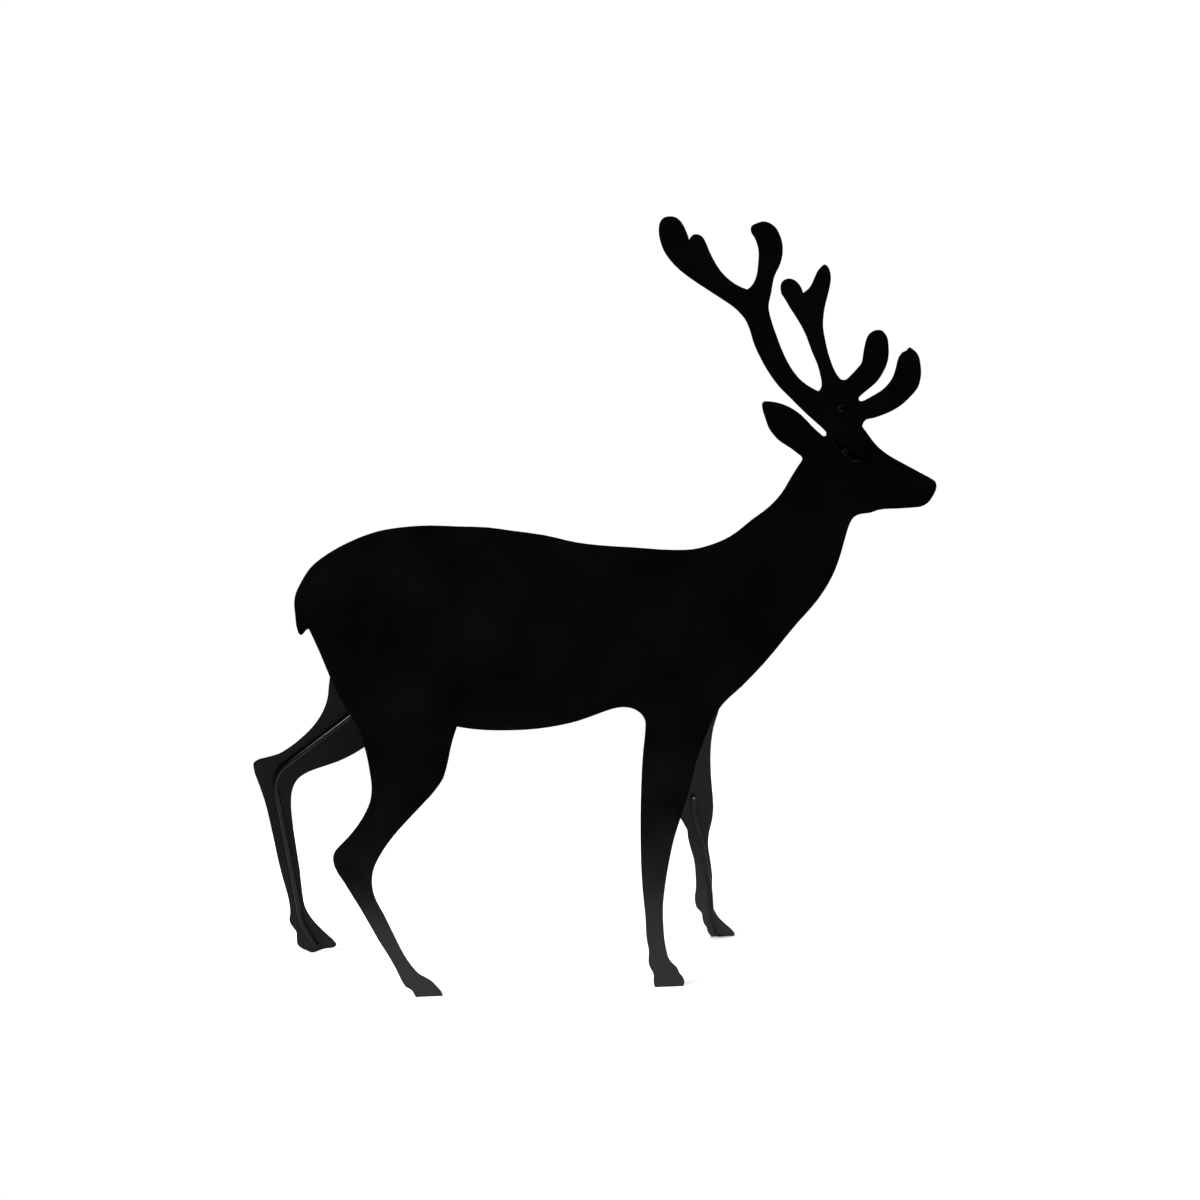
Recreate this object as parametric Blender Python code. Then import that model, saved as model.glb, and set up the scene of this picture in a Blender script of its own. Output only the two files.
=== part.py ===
"""A standing stag, cut from flat steel sheet and finished in satin black.

One upright sheet is the body, with the head, ear, tail and the two near legs. A second
sheet is the pair of antlers, riveted in front of the head. The two far legs are sheets of
their own. Each is folded over at the top, where its flange lies flat on the back of the
body, and leans away behind, so that the figure stands on four hooves. A bent round bar
stiffens the front of each far leg. X runs along the body towards the head, Y away from
the side that is looked at, and Z up. The origin is under the middle of the figure.
"""

from math import asin, atan2, ceil, cos, hypot, pi, radians, sin, sqrt, tan
from types import SimpleNamespace

import bmesh
import bpy
from mathutils import Vector
from mathutils.geometry import interpolate_bezier

# The figure's height from the ground to the tip of the antlers, and its pose
HEIGHT = 0.700
LEAN = radians(4.0)
LEG_SPREAD = 0.156

# The metal
SHEET = 0.002
BEND_RADIUS = 0.003
BAR = 0.004
GAP = 0.0003

# The rivets that hold the antlers on the head
RIVET_SHANK = 0.003
RIVET_HEAD = 0.006
RIVET_RISE = 0.0013

# The outlines below are drawn in units of which the figure is 700 high, as (across, up).
# The far legs' fold is drawn at a height on the body, and their panels at a length.
UNIT = HEIGHT / 700
DRAWN_FOLD = 330
DRAWN_PANEL = 354.3

# How finely curves are divided: how far a straight step may stray from its curve, and
# how far it may turn
STRAY = 0.00006
TURN_STEP = radians(18)
BEND_STEPS = 4
ROUND_SIDES = 16
DOME_STEPS = 4
BAR_RESOLUTION = 3
SMOOTH_ANGLE = radians(35)

# Each outline is a list of strokes. A stroke is one smooth curve through its points, and
# it meets the next stroke in a corner, at the point where it ends. Hooves are drawn a
# little below the ground, because every sole is cut off level with it.
NEAR_HIND_LEG_BACK = [
    (-171.5, -3), (-172.8, 1.2), (-176, 6.5), (-181.5, 10.2), (-184, 14.2), (-188, 23),
    (-195, 36.8), (-205, 53.7), (-220, 81.8), (-235, 107.5), (-243.2, 122), (-244.8, 129),
    (-243.7, 135.3), (-239, 141.2), (-230, 150.1), (-222.5, 159.2), (-215, 171),
    (-210.8, 180), (-208.9, 194), (-210.3, 207.5), (-214.5, 230), (-220, 246.5),
    (-230, 265), (-240, 283.5), (-246.2, 299.5), (-253.5, 318.2), (-262.6, 339),
]
TAIL_AND_BACK = [
    (-262.6, 339), (-264.5, 338.2), (-267.8, 334.5), (-269.6, 333.6), (-271.1, 334.6),
    (-272.8, 338.8), (-274.3, 351), (-274.9, 364.5), (-273.5, 371), (-269, 380.2),
    (-260, 393.8), (-250, 402.2), (-240, 408.5), (-220, 418.2), (-200, 424.9),
    (-178, 428.2), (-152, 429.2), (-127, 427.8), (-100, 426.3), (-80, 423.1),
    (-50, 418.3), (-20, 410.9), (0, 408), (30, 405.4), (70, 402.1), (85.5, 402.4),
    (100, 405.5), (120, 413.5), (140, 428.3), (155.8, 439.6), (166.3, 450.5),
    (176.8, 467.2), (183.3, 477.1), (185.8, 480.6), (186.3, 482.6), (185.4, 484.4),
    (183, 486.3), (175, 492.5), (166, 498.3), (160.3, 504), (155.4, 511), (152.4, 519.6),
    (149.6, 529.5), (149.6, 533), (151.3, 534.8), (155, 534.9), (165, 533.2),
    (175, 529.2), (185.5, 522), (195.1, 512), (200, 507.3), (203, 504.7), (205, 503),
    (206.5, 502.4), (208.3, 503),
]
CROWN_BEHIND_ANTLERS = [
    (208.3, 503), (212, 520), (220, 534), (228, 538), (235, 532), (239, 520),
    (241.2, 511.2),
]
FACE_CHEST_AND_NEAR_FORELEG_FRONT = [
    (241.2, 511.2), (245, 506.2), (255, 493.2), (265.5, 484.5), (280, 476.2),
    (300, 465.2), (307.5, 460.9), (309.9, 458.7), (310.8, 455.5), (309.8, 450.5),
    (306.5, 444.5), (303, 440), (300, 438), (296, 436.4), (290, 435.8), (275, 435.1),
    (256, 434.1), (249, 431.8), (241, 431), (237.5, 430.1), (234, 428.2), (230, 422.2),
    (227.5, 415.2), (222, 396), (216.5, 380.5), (210, 367.8), (200, 353.2),
    (180, 331.2), (150, 296.2), (130, 276.2), (112, 260), (103, 247), (96, 231),
    (87.5, 208), (80.5, 181), (73, 158), (67, 140), (61.3, 115.2), (57.8, 95),
    (55.4, 72), (55.6, 60), (58, 36), (60.8, 26), (64.5, 21.2), (67.8, 18),
    (70.5, 12.2), (73.5, 8.5), (74.8, 3.5), (73.8, 0.3), (71, -3),
]
NEAR_FORELEG_SOLE = [(71, -3), (49.5, -3)]
NEAR_FORELEG_BACK_AND_BELLY = [
    (49.5, -3), (47.2, 0.8), (46.3, 5), (46.2, 12.5), (44, 16.8), (41.9, 22), (41.9, 28),
    (42.1, 35), (40.5, 43), (39.2, 66), (36.8, 91), (35.6, 115), (35.3, 140), (35.7, 172),
    (38.5, 220), (40.5, 238.5), (40.3, 247.3), (37, 253), (30, 258), (20, 260), (10, 258.6),
    (0, 255.5), (-20, 248.9), (-50, 243.4), (-85, 241.9), (-116, 244), (-131, 246.7),
]
NEAR_HIND_LEG_FRONT = [
    (-131, 246.7), (-135.5, 233.5), (-141, 210), (-144.5, 199.5), (-150, 191.5),
    (-170, 169.8), (-190, 148.7), (-203.2, 130), (-208.2, 119.5), (-210, 108),
    (-208.2, 95.2), (-200, 78), (-190, 56), (-182, 39.5), (-173, 26), (-168.5, 21.2),
    (-163, 18), (-157.5, 14.3), (-152.5, 8.8), (-148, 2), (-147.8, -0.5), (-150, -3),
]
NEAR_HIND_LEG_SOLE = [(-150, -3), (-171.5, -3)]
BODY = [
    NEAR_HIND_LEG_BACK, TAIL_AND_BACK, CROWN_BEHIND_ANTLERS,
    FACE_CHEST_AND_NEAR_FORELEG_FRONT, NEAR_FORELEG_SOLE, NEAR_FORELEG_BACK_AND_BELLY,
    NEAR_HIND_LEG_FRONT, NEAR_HIND_LEG_SOLE,
]

# The antlers, up the outer edge of the beam that is swept back, and down to the brow tine
BEAM_BACK = [
    (209.2, 503.6), (207.1, 506.9), (205, 509.3), (200, 513.8), (189.7, 523),
    (175, 537.7), (165, 547.7), (155, 561.3),
    (147, 575.5), (141, 589.5), (138.3, 599), (133.5, 609.5), (125, 618.7), (110, 629.2),
    (90, 642.3), (75, 653.5), (67, 661.5), (60.5, 671), (57.5, 679), (56, 690),
    (57.4, 697), (61, 700.7), (66, 701.7), (70.8, 701), (74.6, 698.5), (77.5, 695),
    (80.5, 689), (83.5, 680.6),
]
FIRST_FORK = [
    (83.5, 680.6), (85.3, 683.5), (87.4, 685.2), (90.8, 685.5), (94.7, 683.9), (97.6, 680),
    (101.5, 670.8), (107, 659.8), (114.6, 649.4), (124.7, 641), (136, 635.8),
]
BACK_TINE = [
    (136, 635.8), (140, 639), (143.5, 645), (146, 658), (146, 673), (143, 681.5),
    (139.4, 688), (140.4, 692.5), (144, 694.4), (151.5, 696.3), (160, 692.8),
    (166.6, 682.4), (168.6, 670), (166.5, 659), (160.4, 646), (157.9, 632.5), (155.4, 620),
    (157.5, 609), (162.4, 594.5), (169.7, 576.1), (175.1, 565.9), (185, 553.4),
    (194.8, 546.5), (200.8, 543.4),
]
MIDDLE_TINE = [
    (200.8, 543.4), (202.9, 545.5), (203.9, 550), (203, 556), (200, 567.5), (195, 579),
    (190, 592.7), (185, 603), (175, 618.7), (169.5, 628), (167.2, 631.5), (166.4, 636),
    (167.2, 641.2), (170, 644), (174.5, 645), (179.2, 643.6), (183, 640.3),
    (186.9, 632.2),
]
FRONT_BEAM_AND_BROW_TINE = [
    (186.9, 632.2), (190, 634), (193.5, 637.5), (197.5, 645.5), (200, 650.8),
    (203, 654.5), (206.9, 657.3), (209.7, 655.4), (211.6, 651.5), (212.5, 644), (211, 635),
    (206.5, 617), (205.3, 601), (207, 590.5), (212.4, 570), (218, 558), (221.8, 553.7),
    (225.5, 553.2), (230, 556.5), (237, 563.8), (240.7, 568.3), (242, 575),
    (243.8, 585), (247.5, 594), (253, 597.4), (258.8, 597.5), (263.6, 592.5), (265.7, 582),
    (264.6, 568.8), (261, 560.2), (254.3, 550.5), (244.6, 542.6), (239.7, 538.6),
    (237.9, 536.1), (238.6, 534.3), (240.5, 533.7), (243.4, 534.5), (250, 537.9),
    (261.8, 545.2), (268.8, 553.7), (272.8, 565), (273.9, 570), (275.7, 574), (279.8, 578),
    (281.9, 578.6), (283.2, 580.3), (285.1, 581.6), (287.8, 580.1), (290, 578.4),
    (292.8, 575), (295.2, 566), (295.7, 557), (292.6, 545),
    (285.7, 536.8), (276.8, 529), (264, 522.2), (252, 518.2), (243.8, 516), (241.3, 511.4),
]
ROOT_ON_HEAD = [(241.3, 511.4), (243.1, 480.1)]
ROOT_END = [(243.1, 480.1), (228.3, 480.4)]
ROOT_BACK = [(228.3, 480.4), (209.2, 503.6)]
ANTLERS = [
    BEAM_BACK, FIRST_FORK, BACK_TINE, MIDDLE_TINE, FRONT_BEAM_AND_BROW_TINE, ROOT_ON_HEAD,
    ROOT_END, ROOT_BACK,
]
RIVETS = {"antler_rivet_upper": (221.9, 527.7), "antler_rivet_lower": (225.6, 487.7)}

# The far legs, drawn flat: up the leg from the ground, over the fold and onto the flange
FAR_HIND_LEG = [[
    (-257, -1.3), (-261, 1.3), (-267.5, 5), (-271.4, 10), (-272, 16), (-272.6, 25),
    (-276, 31), (-278.9, 37.5), (-278.3, 47), (-280.3, 66), (-284.8, 86), (-290, 111.3),
    (-296, 147), (-302.3, 179), (-307.6, 198), (-311.8, 213.6), (-311.9, 220.2),
    (-308.8, 223.2), (-300, 226), (-289.5, 229.3), (-279.3, 236.3), (-269.4, 245.4),
    (-257.8, 259), (-249.3, 274.6), (-245.4, 288.3), (-244, 305), (-240, 335),
    (-225, 372), (-210, 392), (-190, 400), (-170, 396), (-155, 380), (-150, 350),
    (-155, 310), (-165, 285), (-180, 263), (-195, 247), (-211.5, 234), (-220, 227.9),
    (-235, 219.5), (-250, 213.8), (-262, 208.9), (-268, 205), (-272.5, 200),
    (-276.5, 190), (-277.8, 175), (-276.7, 156), (-273.6, 129), (-269.5, 98),
    (-267, 71), (-264.2, 53.4), (-258.7, 40.9), (-245.7, 22.9), (-235.8, 10.7),
    (-234.3, 7.9), (-235.6, 5.7), (-245, 3.7), (-252, 1.4), (-257, -1.3),
]]
FAR_FORELEG = [
    [
        (128.5, -3), (125.5, 1.2), (122.5, 6.5), (121.4, 11), (118.5, 15.5),
        (117, 20.5), (115.3, 28.8), (110, 35.8), (107.8, 44), (107.8, 60), (106.4, 75),
        (103.9, 91.5), (99.7, 105.5), (96, 119.5), (95, 127), (91.5, 134.5),
        (85.5, 146), (80, 168), (71, 215), (66, 275), (64, 335), (66, 358), (70, 373),
        (80, 388), (95, 396), (110, 393), (120, 382), (125, 365), (126, 345),
        (124, 320), (118, 278), (115, 260.5), (112, 245), (110.9, 225), (112.2, 200),
        (115.2, 176), (118, 155), (118.1, 141), (116, 123), (116.1, 110),
        (119, 94), (122.5, 74), (124, 52), (126.3, 35), (131.4, 24), (141.4, 12.2),
        (146.7, 6.6), (149.5, 1.3), (148, -3),
    ],
    [(148, -3), (128.5, -3)],
]

# The middle lines of the two bars, drawn on the same flat legs
HIND_LEG_BAR = [
    (-192, 300), (-225.5, 270.2), (-250, 248.2), (-270, 230.2), (-280, 221), (-287, 214),
    (-291, 206), (-292.3, 196), (-290, 179), (-286.4, 156), (-280, 115), (-274.5, 80),
    (-271.5, 60), (-270, 47), (-268, 39), (-262.8, 27), (-257, 15), (-254, 9.5),
]
FORELEG_BAR = [
    (98, 166), (99.5, 152), (103.6, 137), (110, 112), (113.3, 97), (117, 79),
    (120.2, 65), (123.2, 44), (124.9, 29), (128.6, 5),
]

# The black finish, and how dull it is on each kind of piece
BLACK = (0.011, 0.011, 0.012, 1)
SHEET_ROUGHNESS = 0.5
BAR_ROUGHNESS = 0.38


def clear_scene():
    for thing in list(bpy.data.objects):
        bpy.data.objects.remove(thing, do_unlink=True)


def smooth_curve(knots):
    """The points of a smooth curve through the knots, closer together where it bends."""
    spans = [second - first for first, second in zip(knots, knots[1:])]
    slopes = [span.normalized() for span in spans]
    if len(knots) == 2:
        return knots
    inner = []
    for before, after in zip(spans, spans[1:]):
        near, far = before.length, after.length
        inner.append((before * far / near + after * near / far) / (near + far))
    tangents = [2 * slopes[0] - inner[0], *inner, 2 * slopes[-1] - inner[-1]]
    points = [knots[0]]
    for index, span in enumerate(spans):
        start, end = knots[index], knots[index + 1]
        leaving, arriving = tangents[index], tangents[index + 1]
        turn = leaving.angle(span) + span.angle(arriving)
        third = span.length / 3
        steps = max(1, ceil(turn / TURN_STEP), ceil(sqrt(span.length * turn / (8 * STRAY))))
        points += interpolate_bezier(
            start, start + leaving * third, end - arriving * third, end, steps + 1
        )[1:]
    return points


def drawn(points, up_scale=UNIT):
    """Drawing points as flat points in metres."""
    return [Vector((across * UNIT, up * up_scale)) for across, up in points]


def outline(strokes, up_scale=UNIT):
    """One closed loop of points from the strokes that meet end to end."""
    loop = []
    for stroke in strokes:
        loop += smooth_curve(drawn(stroke, up_scale))[:-1]
    return loop


def round_hole(centre, radius):
    """A circle of points round a flat centre, its sides no nearer to it than the radius."""
    reach = radius / cos(pi / ROUND_SIDES)
    angles = [2 * pi * side / ROUND_SIDES for side in range(ROUND_SIDES)]
    return [centre + reach * Vector((cos(angle), sin(angle))) for angle in angles]


def cut_sheet(loops):
    """A flat sheet cut to closed loops: front face at Z = 0, back face at Z = SHEET."""
    bm = bmesh.new()
    for loop in loops:
        corners = [bm.verts.new((*point, 0)) for point in loop]
        for first, second in zip(corners, corners[1:] + corners[:1]):
            bm.edges.new((first, second))
    bmesh.ops.triangle_fill(bm, use_beauty=True, use_dissolve=False, edges=bm.edges[:])
    grown = bmesh.ops.extrude_face_region(bm, geom=bm.faces[:])
    back = [item for item in grown["geom"] if isinstance(item, bmesh.types.BMVert)]
    bmesh.ops.translate(bm, verts=back, vec=(0, 0, SHEET))
    return bm


def up_along(lean):
    """Up a sheet that leans back by an angle."""
    return Vector((0, sin(lean), cos(lean)))


def back_from(lean):
    """Straight out of the back of a sheet that leans back by an angle."""
    return Vector((0, cos(lean), -sin(lean)))


def on_body(across, up, depth):
    """A point of the body's plane; depth runs from its front face to the back."""
    return Vector((across, 0, 0)) + up * up_along(LEAN) + depth * back_from(LEAN)


def leg_fold():
    """The shape of the far legs' fold, set by the body that they hang on and the ground.

    The flanges lie on the back of the body, and the panels run down to the ground. The
    panel is measured along its face, from the ground to the line where the two would meet.
    """
    line = on_body(0, DRAWN_FOLD * UNIT, SHEET + GAP)
    run = LEG_SPREAD - line.y
    panel = hypot(run, line.z)
    lean = -atan2(run, line.z)
    turn = LEAN - lean
    outside = BEND_RADIUS + SHEET
    return SimpleNamespace(
        lean=lean, turn=turn, outside=outside, start=panel - outside * tan(turn / 2),
        arc=outside * turn, leg_scale=panel / DRAWN_PANEL,
    )


FOLD = leg_fold()


def on_leg(across, up, depth):
    """A point of a far leg; up runs from the ground along its face and round the fold."""
    lean = FOLD.lean + min(max((up - FOLD.start) / FOLD.outside, 0), FOLD.turn)
    point = Vector((across, LEG_SPREAD, 0)) + min(up, FOLD.start) * up_along(FOLD.lean)
    point += FOLD.outside * (back_from(FOLD.lean) - back_from(lean))
    point += max(up - FOLD.start - FOLD.arc, 0) * up_along(lean)
    return point + depth * back_from(lean)


def set_up(bm, place, depth):
    """Carries a flat sheet to its place, with its front face at a depth."""
    for vert in bm.verts:
        vert.co = place(vert.co.x, vert.co.y, vert.co.z + depth)


def crease(bm):
    """Divides a flat leg along the lines on which it bends."""
    for step in range(BEND_STEPS + 1):
        line = FOLD.start + FOLD.arc * step / BEND_STEPS
        everything = bm.verts[:] + bm.edges[:] + bm.faces[:]
        bmesh.ops.bisect_plane(bm, geom=everything, plane_co=(0, line, 0), plane_no=(0, 1, 0))


def level_soles(bm):
    """Cuts off what is below the ground and closes the soles."""
    everything = bm.verts[:] + bm.edges[:] + bm.faces[:]
    bmesh.ops.bisect_plane(
        bm, geom=everything, plane_co=(0, 0, 0), plane_no=(0, 0, 1), clear_inner=True
    )
    rims = [edge for edge in bm.edges if edge.is_boundary]
    bmesh.ops.holes_fill(bm, edges=rims)


def satin_black(name, roughness):
    material = bpy.data.materials.new(name)
    material.use_nodes = True
    shader = material.node_tree.nodes["Principled BSDF"]
    shader.inputs["Base Color"].default_value = BLACK
    shader.inputs["Roughness"].default_value = roughness
    shader.inputs["Metallic"].default_value = 0.0
    material.diffuse_color = BLACK
    return material


def add_piece(name, shape, stand, roughness):
    """Adds a piece with a finish of its own, held by the stand."""
    shape.materials.append(satin_black(name + "_finish", roughness))
    piece = bpy.data.objects.new(name, shape)
    piece.parent = stand
    bpy.context.collection.objects.link(piece)
    return piece


def add_solid(name, bm, stand):
    """Adds a piece of cut or turned metal, its faces turned outwards."""
    bmesh.ops.recalc_face_normals(bm, faces=bm.faces[:])
    if bm.calc_volume(signed=True) < 0:
        bmesh.ops.reverse_faces(bm, faces=bm.faces[:])
    mesh = bpy.data.meshes.new(name)
    bm.to_mesh(mesh)
    bm.free()
    mesh.shade_smooth()
    mesh.set_sharp_from_angle(angle=SMOOTH_ANGLE)
    return add_piece(name, mesh, stand, SHEET_ROUGHNESS)


def add_bar(name, knots, stand):
    """Adds a bent bar that lies along the front of a far leg."""
    depth = -(BAR / 2 + GAP)
    path = smooth_curve(drawn(knots, FOLD.leg_scale))
    curve = bpy.data.curves.new(name, "CURVE")
    curve.dimensions = "3D"
    curve.bevel_depth = BAR / 2
    curve.bevel_resolution = BAR_RESOLUTION
    curve.use_fill_caps = True
    spline = curve.splines.new("POLY")
    spline.points.add(len(path) - 1)
    for point, (across, up) in zip(spline.points, path):
        point.co = (*on_leg(across, up, depth), 1)
    return add_piece(name, curve, stand, BAR_ROUGHNESS)


def dome(seat, rise_direction):
    """Half the outline of a rivet's low round head, from its rim to its middle."""
    rim = RIVET_HEAD / 2
    radius = (rim**2 + RIVET_RISE**2) / (2 * RIVET_RISE)
    half = asin(rim / radius)
    arc = []
    for step in range(DOME_STEPS + 1):
        angle = half * (1 - step / DOME_STEPS)
        rise = RIVET_RISE - radius * (1 - cos(angle))
        arc.append((radius * sin(angle), seat + rise * rise_direction))
    return arc


def rivet(centre):
    """A rivet through the antlers and the head, with a round head at each end."""
    front_seat = -(2 * GAP + SHEET)
    back_seat = SHEET + GAP
    shank = RIVET_SHANK / 2
    profile = dome(front_seat, -1)[::-1]
    profile += [(shank, front_seat), (shank, back_seat)]
    profile += dome(back_seat, 1)
    bm = bmesh.new()
    points = [bm.verts.new((away, 0, depth)) for away, depth in profile]
    edges = [bm.edges.new(pair) for pair in zip(points, points[1:])]
    bmesh.ops.spin(
        bm, geom=points + edges, cent=(0, 0, 0), axis=(0, 0, 1), angle=2 * pi,
        steps=ROUND_SIDES, use_merge=True,
    )
    bmesh.ops.remove_doubles(bm, verts=bm.verts[:], dist=GAP / 10)
    bmesh.ops.translate(bm, verts=bm.verts[:], vec=(*centre, 0))
    set_up(bm, on_body, 0)
    return bm


def add_upright_sheets(stand):
    """The body and, in front of its head, the antlers, with the rivets through both."""
    centres = {name: drawn([centre])[0] for name, centre in RIVETS.items()}
    holes = [round_hole(centre, RIVET_SHANK / 2 + GAP) for centre in centres.values()]
    body = cut_sheet([outline(BODY), *holes])
    set_up(body, on_body, 0)
    level_soles(body)
    antlers = cut_sheet([outline(ANTLERS), *holes])
    set_up(antlers, on_body, -(SHEET + GAP))
    pieces = [add_solid("body_sheet", body, stand), add_solid("antler_sheet", antlers, stand)]
    for name, centre in centres.items():
        add_solid(name, rivet(centre), stand)
    return pieces


def add_far_leg(name, strokes, stand):
    """One far leg, cut flat, folded over its top edge and stood on the ground."""
    leg = cut_sheet([outline(strokes, FOLD.leg_scale)])
    crease(leg)
    set_up(leg, on_leg, 0)
    level_soles(leg)
    return add_solid(name, leg, stand)


def centre_on_ground(stand, pieces):
    """Moves the stand so that the middle of the figure's footprint is the origin."""
    corners = [Vector(corner) for piece in pieces for corner in piece.bound_box]
    low = Vector(map(min, zip(*corners)))
    high = Vector(map(max, zip(*corners)))
    stand.location = (-(low.x + high.x) / 2, -(low.y + high.y) / 2, 0)


def build_stag():
    clear_scene()
    stand = bpy.data.objects.new("stag", None)
    bpy.context.collection.objects.link(stand)
    pieces = add_upright_sheets(stand)
    pieces.append(add_far_leg("far_hind_leg", FAR_HIND_LEG, stand))
    pieces.append(add_far_leg("far_foreleg", FAR_FORELEG, stand))
    add_bar("hind_leg_bar", HIND_LEG_BAR, stand)
    add_bar("foreleg_bar", FORELEG_BAR, stand)
    bpy.context.view_layer.update()
    centre_on_ground(stand, pieces)


build_stag()
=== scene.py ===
"""A standing stag of flat steel sheet, coated satin black, on a white studio floor."""

from math import ceil, cos, pi, radians, sin

import bmesh
import bpy
from mathutils import Matrix, Vector


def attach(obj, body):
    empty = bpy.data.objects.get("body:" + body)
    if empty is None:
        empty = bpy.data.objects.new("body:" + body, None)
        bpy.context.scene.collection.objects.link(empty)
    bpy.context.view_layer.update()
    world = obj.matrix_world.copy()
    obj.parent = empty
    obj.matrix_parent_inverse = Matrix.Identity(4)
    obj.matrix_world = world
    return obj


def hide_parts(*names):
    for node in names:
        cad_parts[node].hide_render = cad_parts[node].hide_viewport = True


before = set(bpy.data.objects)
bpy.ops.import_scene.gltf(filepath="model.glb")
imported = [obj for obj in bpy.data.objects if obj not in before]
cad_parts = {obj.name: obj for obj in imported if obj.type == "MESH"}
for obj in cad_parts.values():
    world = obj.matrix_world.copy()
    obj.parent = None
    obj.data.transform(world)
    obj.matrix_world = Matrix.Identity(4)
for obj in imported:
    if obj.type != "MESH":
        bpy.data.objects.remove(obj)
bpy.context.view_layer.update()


# The body is one upright sheet of 2 mm mild steel. Head, ear, tail and the two near legs
# are cut in one by laser, and the sheet is powder coated after cutting, which leaves a
# satin black skin with a faint orange peel and softens the cut edges.
BODY_LEAN = radians(4.0)
BLACK = "030304"
HANDLED = "070707"
# A grey painted into the coat towards the ground, up to a given height: a painted reflection
# of the white floor.
PAINTED_REFLECTION_GREY = "353432"
PAINTED_REFLECTION_TO = 0.12
WAVE = 0.045
WAVE_DEPTH = 0.00035
RIB = 0.0004
RIB_DEPTH = 0.00008
PEEL_DEPTH = 0.00002
HAZE_PATCH = 0.03
SOFT_RIM = 0.0006
RIM_SEGMENTS = 3
MERGED = 0.000002
FLUSH = radians(0.5)
CUT_CORNER = radians(50)
FACE_TURN = 0.7
SHORTEST_STEP = 0.0004
LARGEST_ROUNDED = 0.0001


def linear(code):
    """A colour from its six-figure screen code."""
    shares = [int(code[place:place + 2], 16) / 255 for place in (0, 2, 4)]
    return (*[s / 12.92 if s <= 0.04045 else ((s + 0.055) / 1.055) ** 2.4 for s in shares], 1)


def add_node(owner, kind, sockets=None, **settings):
    """Adds a node; each socket takes a number, a colour or another node's output."""
    made = owner.node_tree.nodes.new(kind)
    for name, value in settings.items():
        setattr(made, name, value)
    for name, value in (sockets or {}).items():
        if isinstance(value, bpy.types.NodeSocket):
            owner.node_tree.links.new(value, made.inputs[name])
        else:
            made.inputs[name].default_value = value
    return made


def powder_coat(name, black, haze, dull, peel, ribs=None, ior=1.32, painted_reflection=0.0):
    """Satin black polyester powder, baked on steel.

    It flows into a skin with the dimples of an orange's, a millimetre or two across. The
    eye gets black with a soft even sheen, and a grey haze where it has been handled.
    Towards the ground the colour is painted lighter, more or less, as a painted reflection
    of the white floor. A noise makes patches of about half a metre divided by its scale,
    so each scale follows a real size.
    """
    material = bpy.data.materials.new(name)
    material.use_nodes = True
    shader = material.node_tree.nodes["Principled BSDF"]
    place = add_node(material, "ShaderNodeTexCoord").outputs["Object"]

    # The sheet isn't quite flat, which bends its reflections a little.
    waves = add_node(material, "ShaderNodeTexNoise", {
        "Vector": place, "Scale": 0.5 / WAVE, "Detail": 1.0,
    }).outputs["Fac"]
    skin = add_node(material, "ShaderNodeBump", {
        "Height": waves, "Distance": WAVE_DEPTH, "Strength": 1.0,
    }).outputs["Normal"]

    # A laser leaves fine ribs across a cut edge, from one face of the sheet to the other.
    if ribs is not None:
        turned = add_node(material, "ShaderNodeMapping", {
            "Vector": place, "Rotation": (ribs, 0, 0),
        }).outputs["Vector"]
        through = add_node(material, "ShaderNodeMapping", {
            "Vector": turned, "Scale": (1, 0, 1),
        }).outputs["Vector"]
        ridges = add_node(material, "ShaderNodeTexNoise", {
            "Vector": through, "Scale": 0.5 / RIB, "Detail": 1.0,
        }).outputs["Fac"]
        skin = add_node(material, "ShaderNodeBump", {
            "Height": ridges, "Distance": RIB_DEPTH, "Strength": 1.0, "Normal": skin,
        }).outputs["Normal"]

    dimples = add_node(material, "ShaderNodeTexNoise", {
        "Vector": place, "Scale": 0.5 / peel, "Detail": 2.0,
    }).outputs["Fac"]
    skin = add_node(material, "ShaderNodeBump", {
        "Height": dimples, "Distance": PEEL_DEPTH, "Strength": 1.0, "Normal": skin,
    }).outputs["Normal"]

    # Where the coat is hazy it is both greyer and duller.
    patches = add_node(material, "ShaderNodeTexNoise", {
        "Vector": place, "Scale": 0.5 / HAZE_PATCH, "Detail": 4.0,
    }).outputs["Fac"]
    hazy = add_node(material, "ShaderNodeMapRange", {
        "Value": patches, "From Min": 0.35, "From Max": 0.75, "To Min": 0.0, "To Max": 1.0,
    }).outputs["Result"]
    tint = add_node(material, "ShaderNodeMix", data_type="RGBA", sockets={
        "Factor": hazy, "A": linear(black), "B": linear(haze),
    }).outputs["Result"]
    rough = add_node(material, "ShaderNodeMapRange", {
        "Value": hazy, "From Min": 0.0, "From Max": 1.0,
        "To Min": dull - 0.03, "To Max": dull + 0.05,
    }).outputs["Result"]

    # Towards the ground the colour is mixed with a lighter grey, a painted reflection of the
    # floor.
    if painted_reflection:
        up = add_node(material, "ShaderNodeSeparateXYZ", {"Vector": place}).outputs["Z"]
        reflection_share = add_node(material, "ShaderNodeMapRange", {
            "Value": up, "From Min": 0.0, "From Max": PAINTED_REFLECTION_TO, "To Min": painted_reflection, "To Max": 0.0,
        }).outputs["Result"]
        tint = add_node(material, "ShaderNodeMix", data_type="RGBA", sockets={
            "Factor": reflection_share, "A": tint, "B": linear(PAINTED_REFLECTION_GREY),
        }).outputs["Result"]

    material.node_tree.links.new(tint, shader.inputs["Base Color"])
    material.node_tree.links.new(rough, shader.inputs["Roughness"])
    material.node_tree.links.new(skin, shader.inputs["Normal"])
    shader.inputs["IOR"].default_value = ior
    return material


def merged_copy(node):
    """A solid's own shape, its loose triangles merged into whole faces."""
    bm = bmesh.new()
    bm.from_mesh(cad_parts[node].data)
    bmesh.ops.remove_doubles(bm, verts=bm.verts[:], dist=MERGED)
    bmesh.ops.dissolve_limit(bm, angle_limit=FLUSH, verts=bm.verts[:], edges=bm.edges[:])
    return bm


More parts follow.
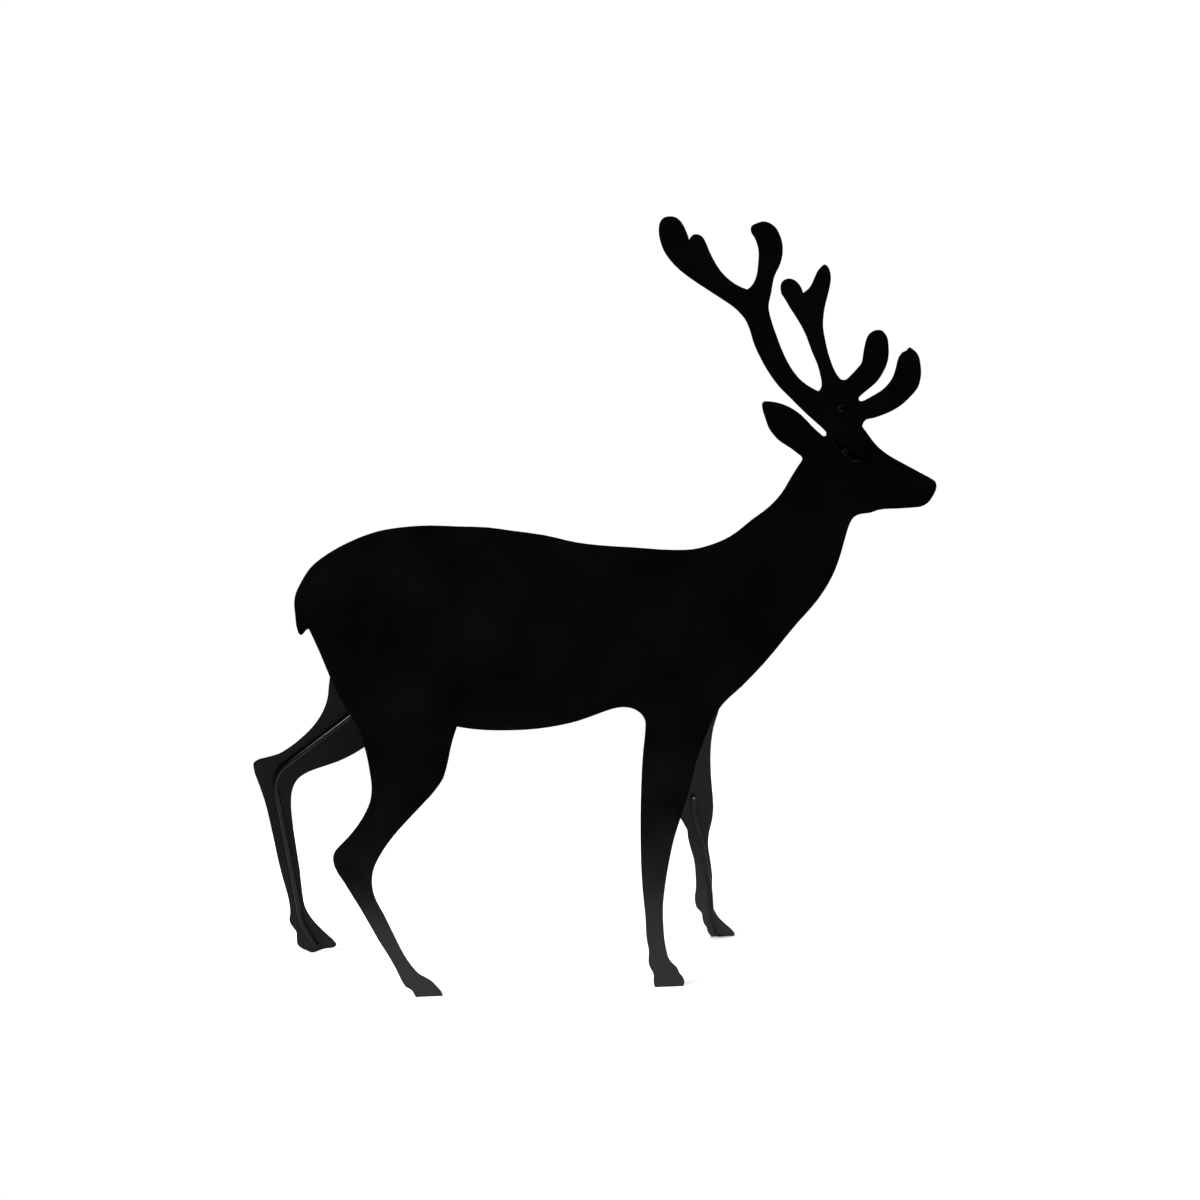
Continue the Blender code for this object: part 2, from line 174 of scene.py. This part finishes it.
def make_piece(bm, name, *finishes):
    """The object of a finished shape, with its finishes in order."""
    mesh = bpy.data.meshes.new(name)
    bm.to_mesh(mesh)
    bm.free()
    for finish in finishes:
        mesh.materials.append(finish)
    piece = bpy.data.objects.new(name, mesh)
    bpy.context.collection.objects.link(piece)
    return piece


def coated_copy(node, name, face_finish, edge_finish, shortest=None):
    """A sheet's own shape with the soft rim of its coat.

    Steps of the outline shorter than a given length are merged, to leave room for the rim.
    """
    bm = merged_copy(node)
    if shortest:
        bmesh.ops.dissolve_degenerate(bm, dist=shortest, edges=bm.edges[:])
    for face in bm.faces:
        face.material_index = 1 if abs(face.normal.y) < FACE_TURN else 0
    rim = [
        edge for edge in bm.edges if edge.calc_face_angle(0) > CUT_CORNER
        and edge.link_faces[0].material_index != edge.link_faces[1].material_index
    ]
    softened = bmesh.ops.bevel(
        bm, geom=rim, offset=SOFT_RIM, offset_type="OFFSET", segments=RIM_SEGMENTS,
        profile=0.5, affect="EDGES", clamp_overlap=False, material=-1,
    )
    for face in softened["faces"]:
        face.material_index = 1
    for face in bm.faces:
        face.smooth = face.calc_area() < LARGEST_ROUNDED
    piece = make_piece(bm, name, face_finish, edge_finish)
    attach(piece, "root")
    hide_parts(node)


# The broad faces have the coat's full satin sheen, and mirror the white floor softly.
# Near the ground a little painted reflection of the floor also lightens their colour.
upright_face = powder_coat(
    "satin_black_powder_coat", BLACK, HANDLED, dull=0.2, peel=0.0016, painted_reflection=0.08
)
# The ribs that the laser leaves scatter the light, so the cut edges are matt.
upright_edge = powder_coat(
    "powder_coat_on_laser_cut_edge", BLACK, HANDLED, dull=0.75, peel=0.0012, ribs=BODY_LEAN,
    ior=1.1,
)
coated_copy("body_sheet", "coated_body", upright_face, upright_edge, SHORTEST_STEP)


# The antlers are a second sheet, cut and coated in the same way and set in front of the
# head. Two small welds at their root show as low beads in the coat.
BODY_FOOT = Vector((0.000768, -0.079076, 0))
UPRIGHT = Matrix.Translation(BODY_FOOT) @ Matrix.Rotation(-BODY_LEAN, 4, "X")
UNIT = 0.001
ROOT_BEAD = 0.0011
RIPPLE = 0.0006
RIPPLE_DIP = 0.86
BLUNTNESS = 6
THINNEST = 0.15
coated_copy("antler_sheet", "coated_antlers", upright_face, upright_edge, SHORTEST_STEP)


def lay_welds(name, runs, seat, radius, finish):
    """Weld beads along straight runs, each from one point of a sheet's plane to another.

    A point is across, up and how deep it lies behind the sheet's face, in millimetres.
    """
    curve = bpy.data.curves.new(name, "CURVE")
    curve.dimensions = "3D"
    curve.bevel_depth = radius
    curve.bevel_resolution = 4
    curve.use_fill_caps = True
    for first, last in runs:
        start, end = (
            seat @ Vector((across * UNIT, depth * UNIT, up * UNIT))
            for across, up, depth in (first, last)
        )
        steps = 2 * ceil((end - start).length / RIPPLE / 2)
        spline = curve.splines.new("POLY")
        spline.points.add(steps)
        for index, point in enumerate(spline.points):
            share = index / steps
            point.co = (*start.lerp(end, share), 1)
            swell = (1 - abs(2 * share - 1) ** BLUNTNESS) ** 0.5
            point.radius = max(THINNEST, swell * (RIPPLE_DIP if index % 2 else 1))
    curve.materials.append(finish)
    piece = bpy.data.objects.new(name, curve)
    bpy.context.collection.objects.link(piece)
    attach(piece, "root")


# The coat is thin over the fine ripples of a weld, which makes the beads a little greyer.
weld_coat = powder_coat(
    "powder_coat_on_weld", "040405", "0a0a0a", dull=0.3, peel=0.0008, ior=1.22
)
lay_welds("antler_root_welds", [
    ((230.5, 479.9, -0.6), (240.5, 479.7, -0.6)),
    ((242.6, 494, -0.6), (242.1, 503, -0.6)),
], UPRIGHT, ROOT_BEAD, weld_coat)


# Two steel rivets, 3 mm in the shank, pass through the antlers and the head. They are
# set with low round heads at both ends and are coated together with the sheets.
SHEET = 0.002
RIVET_HEAD = 0.006
RIVET_SHANK = 0.003
RIVET_RISE = 0.0009
RIVET_GAP = 0.0003
RIVET_SIDES = 48
HEAD_STEPS = 8
# Over a small round head the sheen is weaker, so the heads hardly stand out.
rivet_coat = powder_coat(
    "powder_coat_on_rivet", BLACK, HANDLED, dull=0.24, peel=0.001, ior=1.2
)


def rivet(name, node, across, up):
    """A turned piece: a head's round, its flat seat, the shank, and the same again."""
    bm = bmesh.new()
    profile = []
    for seat, side in ((-SHEET - 2 * RIVET_GAP, -1), (SHEET + RIVET_GAP, 1)):
        head = []
        for step in range(HEAD_STEPS + 1):
            turn = pi / 2 * step / HEAD_STEPS
            head.append((RIVET_HEAD / 2 * sin(turn), seat + side * RIVET_RISE * cos(turn)))
        head.append((RIVET_SHANK / 2, seat))
        profile += head if side < 0 else head[::-1]
    points = [bm.verts.new((away, depth, 0)) for away, depth in profile]
    edges = [bm.edges.new(pair) for pair in zip(points, points[1:])]
    bmesh.ops.spin(
        bm, geom=points + edges, cent=(0, 0, 0), axis=(0, 1, 0), angle=2 * pi,
        steps=RIVET_SIDES, use_merge=True,
    )
    bmesh.ops.remove_doubles(bm, verts=bm.verts[:], dist=MERGED)
    bmesh.ops.recalc_face_normals(bm, faces=bm.faces[:])
    bmesh.ops.transform(
        bm, verts=bm.verts[:], matrix=UPRIGHT @ Matrix.Translation((across, 0, up))
    )
    piece = make_piece(bm, name, rivet_coat)
    piece.data.shade_smooth()
    piece.data.set_sharp_from_angle(angle=CUT_CORNER)
    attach(piece, "root")
    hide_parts(node)


rivet("upper_rivet", "antler_rivet_upper", 0.2219, 0.5277)
rivet("lower_rivet", "antler_rivet_lower", 0.2256, 0.4877)


# The two far legs are cut from the same sheet. Each is folded at the top into a flange
# that lies on the back of the body, and leans away from it down to the ground.
LEG_LEAN = radians(-21.66)
# The hind leg is duller than the body, and is painted a little lighter at the hoof, a painted
# reflection of the floor.
hind_leg_face = powder_coat(
    "powder_coat_on_far_hind_leg", BLACK, HANDLED, dull=0.4, peel=0.0016, ior=1.14, painted_reflection=0.2
)
# The foreleg is painted greyer towards the ground, a stronger painted reflection of the floor.
foreleg_face = powder_coat(
    "powder_coat_on_far_foreleg", BLACK, HANDLED, dull=0.4, peel=0.0016, ior=1.2, painted_reflection=0.65
)
# Their cut edges are as matt as the body's.
leg_edge = powder_coat(
    "powder_coat_on_leg_edge", BLACK, HANDLED, dull=0.75, peel=0.0012, ribs=LEG_LEAN, ior=1.1
)
coated_copy("far_hind_leg", "coated_far_hind_leg", hind_leg_face, leg_edge)
coated_copy("far_foreleg", "coated_far_foreleg", foreleg_face, leg_edge)


# Short fillet welds hold the rounded edges of the two flanges on the back of the body.
# Each flange has three, one on either side and one across its top.
FLANGE_BEAD = 0.0014
lay_welds("hind_flange_welds", [
    ((-224, 349, 2.6), (-213, 365, 2.6)),
    ((-199, 374.6, 2.6), (-183, 376.2, 2.6)),
    ((-161.5, 364, 2.6), (-153.8, 352, 2.6)),
], UPRIGHT, FLANGE_BEAD, weld_coat)
lay_welds("fore_flange_welds", [
    ((69.5, 349, 2.6), (78, 362.5, 2.6)),
    ((89, 371, 2.6), (103, 372.3, 2.6)),
    ((117.5, 362, 2.6), (123.6, 347, 2.6)),
], UPRIGHT, FLANGE_BEAD, weld_coat)


# A bent 4 mm round bar runs down the front of each far leg and keeps the thin sheet from
# flexing. It is drawn steel, smoother than the sheet under the same coat.
BAR_CORNER = radians(60)
# On drawn steel the coat lies smoother, so a fine bright line runs along the bar.
bar_coat = powder_coat(
    "powder_coat_on_drawn_bar", BLACK, HANDLED, dull=0.17, peel=0.0025, ior=1.2
)


def coated_bar(node, name):
    """A bar's own shape with its cut ends softened by the coat."""
    bm = merged_copy(node)
    ends = [edge for edge in bm.edges if edge.calc_face_angle(0) > BAR_CORNER]
    bmesh.ops.bevel(
        bm, geom=ends, offset=SOFT_RIM, offset_type="OFFSET", segments=RIM_SEGMENTS,
        profile=0.5, affect="EDGES", clamp_overlap=True, material=-1,
    )
    piece = make_piece(bm, name, bar_coat)
    piece.data.shade_smooth()
    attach(piece, "root")
    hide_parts(node)


coated_bar("hind_leg_bar", "coated_hind_leg_bar")
coated_bar("foreleg_bar", "coated_foreleg_bar")


# The bars are tacked to the legs at their ends and once in between. The tacks are small
# beads of weld, laid on one side of the bar or on both.
LEG_FOOT = Vector((0.000768, 0.076924, 0))
LEANING = Matrix.Translation(LEG_FOOT) @ Matrix.Rotation(-LEG_LEAN, 4, "X")
BAR_BEAD = 0.0010
lay_welds("hind_bar_tacks", [
    ((-277.4, 117, -0.7), (-276.4, 111, -0.7)),
    ((-251.9, 12, -0.8), (-250.6, 8, -0.8)),
    ((-256.2, 9.5, -0.8), (-254.6, 6.6, -0.8)),
    ((-197, 299, -0.7), (-202, 294, -0.7)),
], LEANING, BAR_BEAD, weld_coat)
lay_welds("fore_bar_tacks", [
    ((95.7, 165, -0.7), (96.1, 160, -0.7)),
    ((100.3, 166, -0.7), (100.9, 161, -0.7)),
    ((112.3, 111, -0.7), (113.5, 106, -0.7)),
    ((130.4, 9, -0.8), (130.9, 5, -0.8)),
], LEANING, BAR_BEAD, weld_coat)


# A drop of weld has set on the upper end of the foreleg's bar. It spread a little where it
# touched, and drew smooth as it cooled.
DROP = 0.0016
DROP_PLACE = Vector((0.0983, -0.0026, 0.1670))
FOOT_SPREAD = 1.2
# It has a stronger sheen than the coat elsewhere, and shows as one bright dot.
drop_coat = powder_coat(
    "powder_coat_on_weld_drop", "040405", "0a0a0a", dull=0.28, peel=0.0025, ior=1.9
)
bm = bmesh.new()
bmesh.ops.create_uvsphere(bm, u_segments=24, v_segments=16, radius=DROP)
foot = [point for point in bm.verts if point.co.y > DROP / 4]
bmesh.ops.scale(bm, vec=(FOOT_SPREAD, 1, FOOT_SPREAD), verts=foot)
bmesh.ops.transform(bm, verts=bm.verts[:], matrix=LEANING @ Matrix.Translation(DROP_PLACE))
drop = make_piece(bm, "weld_drop", drop_coat)
drop.data.shade_smooth()
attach(drop, "root")


# The stag stands on a round white floor, and all about it is a lit white surround that
# only the camera sees, so that the floor has no visible edge.
FLOOR_REACH = 0.75
FLOOR_MIDDLE = Vector((0.25, 0, 0))
SURROUND_REACH = 30
# Matt white paint, which gives the near legs the grey that their satin coat mirrors.
white = bpy.data.materials.new("matt_white_floor")
white.use_nodes = True
white.node_tree.nodes["Principled BSDF"].inputs["Base Color"].default_value = linear("f2f2f0")
white.node_tree.nodes["Principled BSDF"].inputs["Roughness"].default_value = 0.9
bm = bmesh.new()
bmesh.ops.create_circle(
    bm, cap_ends=True, segments=96, radius=FLOOR_REACH, matrix=Matrix.Translation(FLOOR_MIDDLE)
)
floor = make_piece(bm, "floor", white)

# White paper with light on it, which gives the eye plain white on every side.
glow = bpy.data.materials.new("lit_white_surround")
glow.use_nodes = True
glow.node_tree.nodes.remove(glow.node_tree.nodes["Principled BSDF"])
lit = add_node(glow, "ShaderNodeEmission", {"Color": (1, 1, 1, 1), "Strength": 1.01})
glow.node_tree.links.new(
    lit.outputs["Emission"], glow.node_tree.nodes["Material Output"].inputs["Surface"]
)
bm = bmesh.new()
bmesh.ops.create_uvsphere(bm, u_segments=48, v_segments=24, radius=SURROUND_REACH)
surround = make_piece(bm, "surround", glow)
surround.visible_diffuse = False
surround.visible_glossy = False
surround.visible_transmission = False
surround.visible_shadow = False


# Soft light comes from the white wall and ceiling behind the stag. The room in front of it
# is dark, so that the flat face that is turned to it stays black. A softbox at the front
# left draws the bright line along the hind leg's bar.
BRIGHT_SIDE = (0, 0.6, 0.8)
SOFTBOX_PLACE = Vector((-1.7, -0.85, 1.2))
SOFTBOX_AIM = Vector((-0.25, 0, 0.2))
world = bpy.data.worlds.new("soft_light_from_behind_and_above")
world.use_nodes = True
bpy.context.scene.world = world
direction = add_node(world, "ShaderNodeTexCoord").outputs["Generated"]
turned = add_node(
    world, "ShaderNodeVectorMath", {0: direction, 1: BRIGHT_SIDE}, operation="DOT_PRODUCT"
).outputs["Value"]
bright = add_node(world, "ShaderNodeMapRange", {
    "Value": turned, "From Min": -0.05, "From Max": 0.45, "To Min": 0.006, "To Max": 1.38,
}).outputs["Result"]
world.node_tree.links.new(bright, world.node_tree.nodes["Background"].inputs["Strength"])
world.node_tree.nodes["Background"].inputs["Color"].default_value = linear("fffdfb")
bpy.context.scene.view_settings.view_transform = "Standard"

side_light = bpy.data.lights.new("softbox_at_the_front_left", "AREA")
side_light.shape = "SQUARE"
side_light.size = 0.7
side_light.energy = 80
side_light.color = (1.0, 0.98, 0.96)
softbox = bpy.data.objects.new("softbox", side_light)
bpy.context.collection.objects.link(softbox)
softbox.location = SOFTBOX_PLACE
softbox.rotation_mode = "QUATERNION"
softbox.rotation_quaternion = (SOFTBOX_AIM - SOFTBOX_PLACE).to_track_quat("-Z", "Y")
softbox.visible_camera = False


# The camera stands three metres away, a little to the stag's rear, and looks slightly
# down on it, as the photograph does.
EYE = Vector((-0.41379, -3.02421, 0.91331))
LOOKED_AT = Vector((0.00077, -0.05408, 0.35749))
camera_data = bpy.data.cameras.new("camera")
camera_data.lens = 101.44
camera_data.sensor_width = 36
camera = bpy.data.objects.new("camera", camera_data)
bpy.context.collection.objects.link(camera)
camera.location = EYE
camera.rotation_mode = "QUATERNION"
camera.rotation_quaternion = (LOOKED_AT - EYE).to_track_quat("-Z", "Y")
bpy.context.scene.camera = camera
